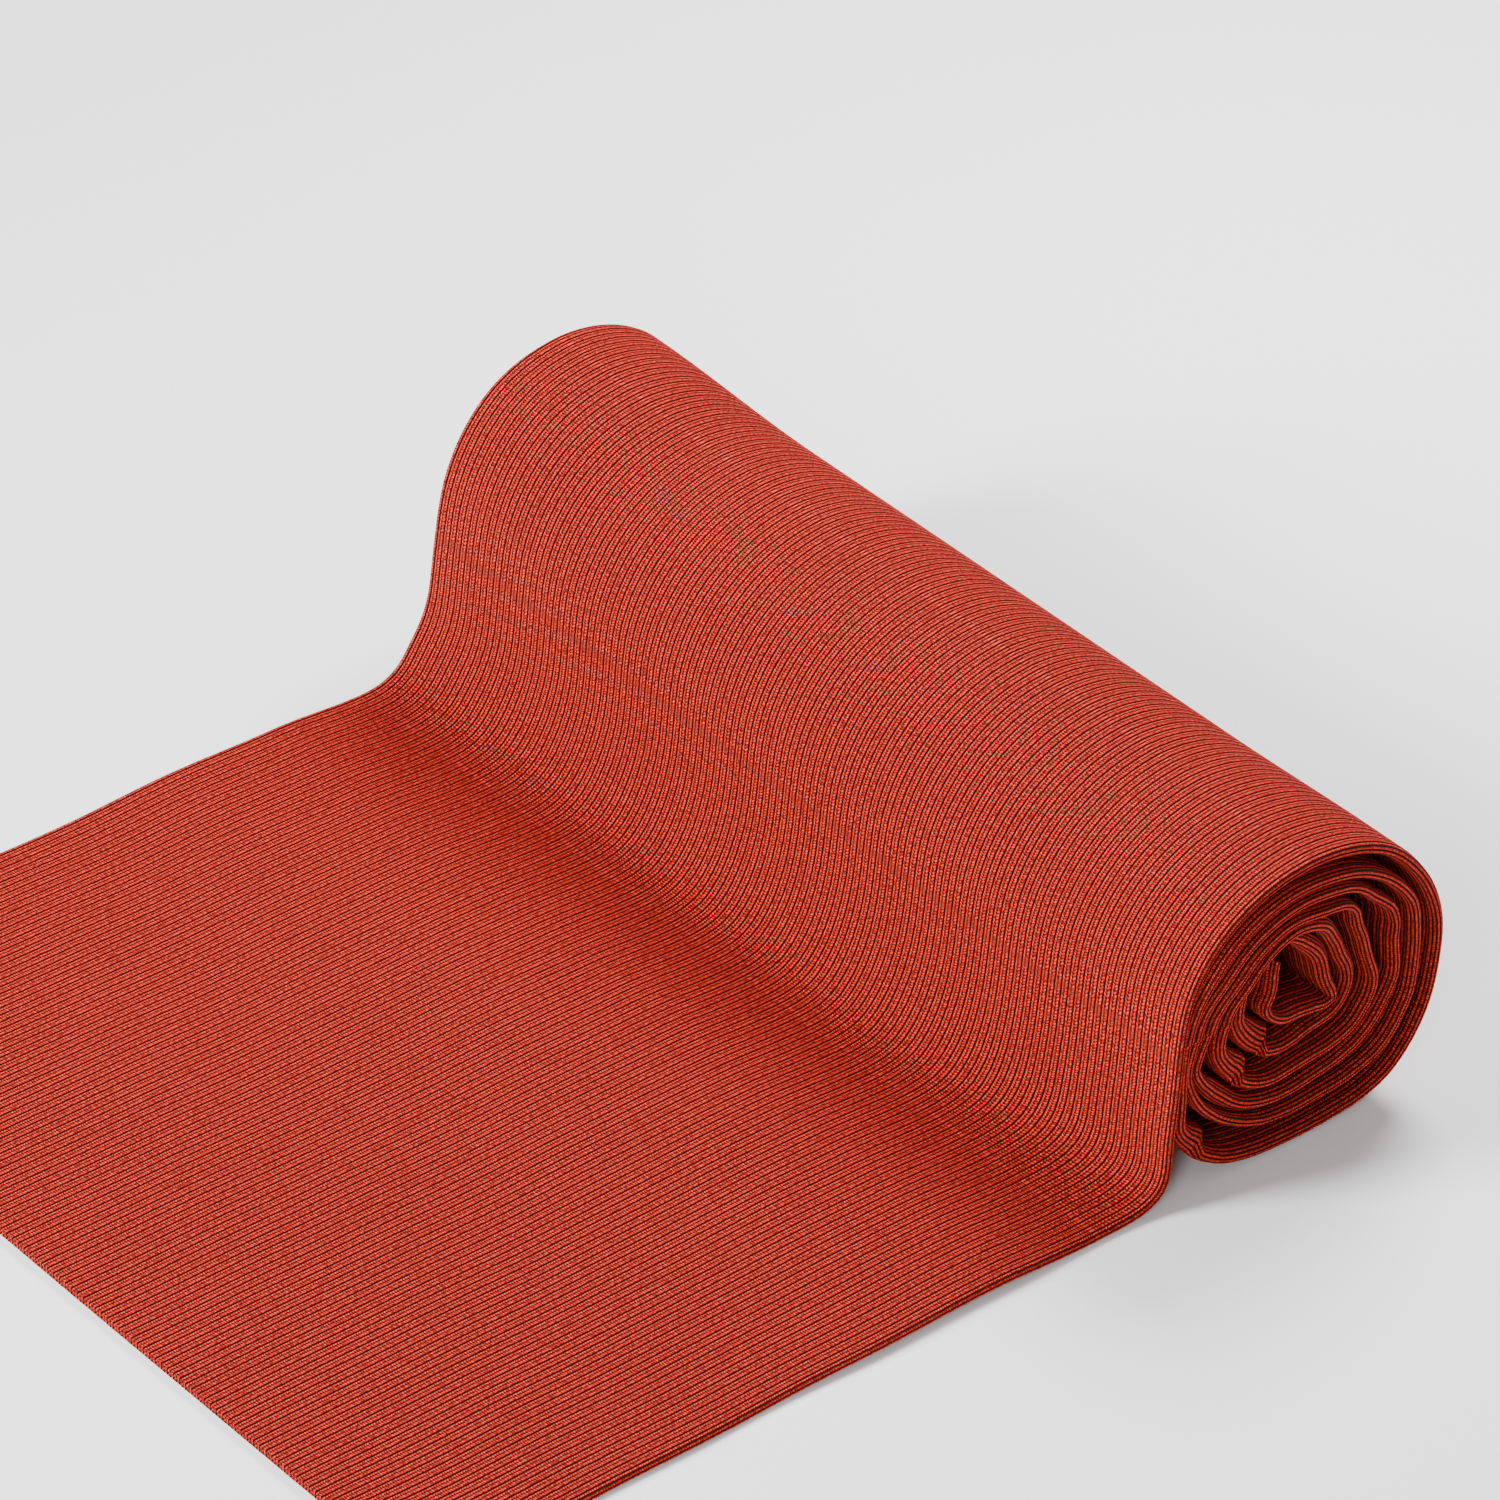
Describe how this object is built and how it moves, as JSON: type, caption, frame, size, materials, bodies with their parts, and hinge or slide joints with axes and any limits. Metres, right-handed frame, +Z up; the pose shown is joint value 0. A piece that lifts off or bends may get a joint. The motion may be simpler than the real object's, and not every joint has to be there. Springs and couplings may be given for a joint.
{
  "type": "fabric bolt",
  "caption": "Coreless roll of ribbed tubular knit cloth, lying on its side with the last stretch drawn off over the top and laid flat along the table.",
  "frame": {"origin": "on the table under the middle of the roll, straight below the roll's axis, on the flat patch that the roll rests on", "axes": "+Z up from the table, Y along the roll, -X along the laid cloth towards its cut end"},
  "size_m": [0.3826, 0.35, 0.102],
  "materials": {
    "rib_cloth": "matt cotton rib knit with a soft sheen"
  },
  "bodies": {
    "drop": {"front_over": "rib_cloth", "drop": "rib_cloth", "slack": "rib_cloth"},
    "roll": {"lap_1": "rib_cloth", "lap_2": "rib_cloth", "lap_3": "rib_cloth", "lap_4": "rib_cloth", "lap_5": "rib_cloth", "lap_6": "rib_cloth"},
    "laid": {"laid": "rib_cloth"},
    "end_1": {"end_strip_1": "rib_cloth"},
    "end_2": {"end_strip_2": "rib_cloth"}
  },
  "joints": [
    {"name": "roll_turn", "type": "hinge", "parent": "drop", "child": "roll", "pos_m": [0, 0, 0.04947], "axis": [0, -1, 0], "range_deg": [-10, 30], "deforming": ["front_over"]},
    {"name": "draw_out", "type": "slide", "parent": "drop", "child": "laid", "axis": [-1, 0, 0], "range_m": [-0.01, 0.03], "deforming": ["slack"]},
    {"name": "end_curl_1", "type": "hinge", "parent": "laid", "child": "end_1", "pos_m": [-0.23123, 0, 0.0028], "axis": [0, 1, 0], "range_deg": [0, 90]},
    {"name": "end_curl_2", "type": "hinge", "parent": "end_1", "child": "end_2", "pos_m": [-0.28123, 0, 0.0028], "axis": [0, 1, 0], "range_deg": [0, 90]}
  ],
  "couplings": [
    {"joint": "draw_out", "follows": "roll_turn", "m_per_rad": 0.052}
  ]
}
